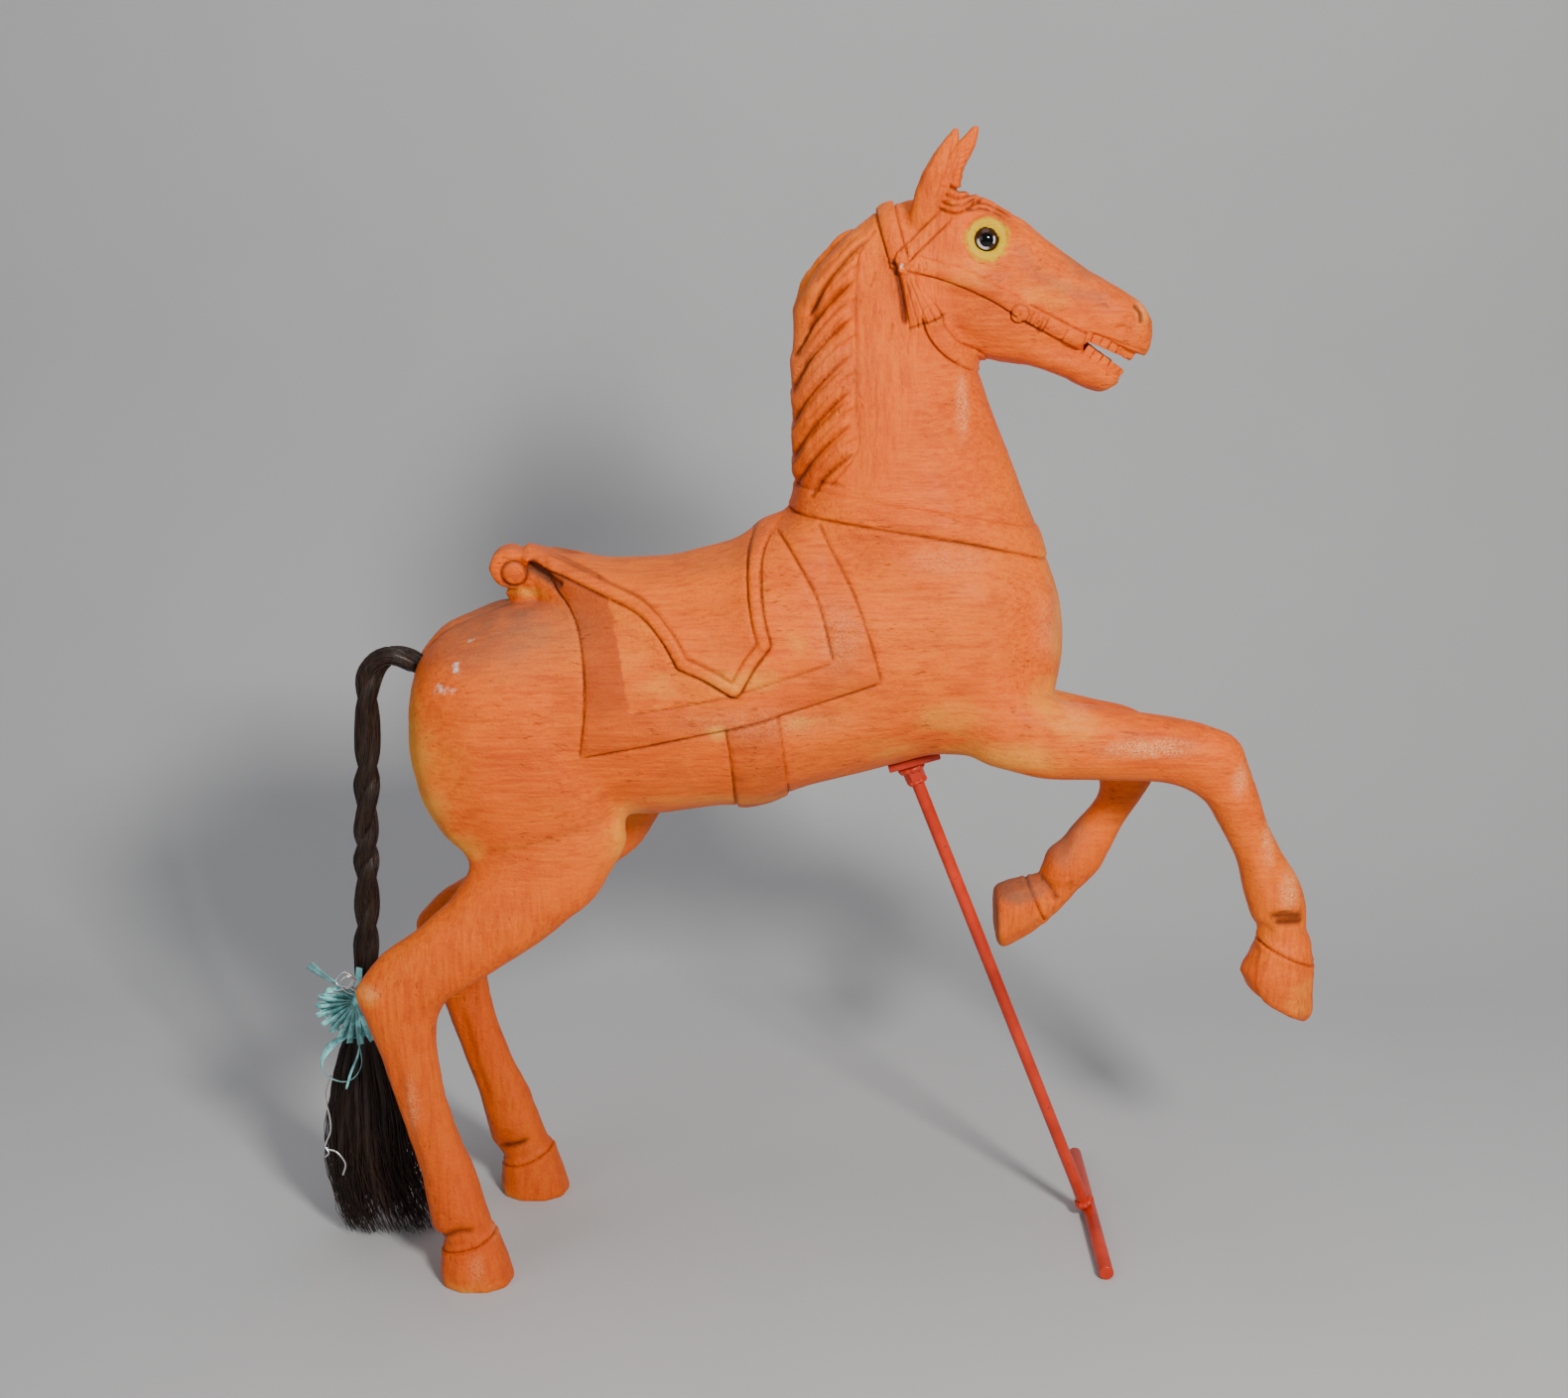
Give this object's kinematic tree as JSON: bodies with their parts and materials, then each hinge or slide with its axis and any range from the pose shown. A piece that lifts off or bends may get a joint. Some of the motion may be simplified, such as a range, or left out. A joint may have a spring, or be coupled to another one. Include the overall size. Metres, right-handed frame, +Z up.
{
  "type": "carousel horse",
  "caption": "Carved wooden carousel horse in a leaping pose with saddle and bridle, glass eyes, a horsehair tail tied with a ribbon bow, and a slanting steel prop under the belly.",
  "frame": {"origin": "middle of the object's footprint box, on the floor", "axes": "+X the way the horse faces, +Z up, -Y towards the horse's right side"},
  "size_m": [1.1984, 0.3352, 1.341],
  "materials": {
    "carved_wood": "orange-brown stained and varnished wood, worn and dusty on top",
    "eye_glass": "dark glass eye with a bright crescent",
    "horsehair": "near-black brown horsehair, twisted, loose below",
    "satin_ribbon": "turquoise satin ribbon",
    "red_paint": "glossy red paint over steel"
  },
  "bodies": {
    "root": {"horse": "carved_wood", "eye_right": "eye_glass", "eye_left": "eye_glass", "tail": "horsehair", "ribbon_bow": "satin_ribbon", "prop_stand": "red_paint"}
  },
  "joints": []
}
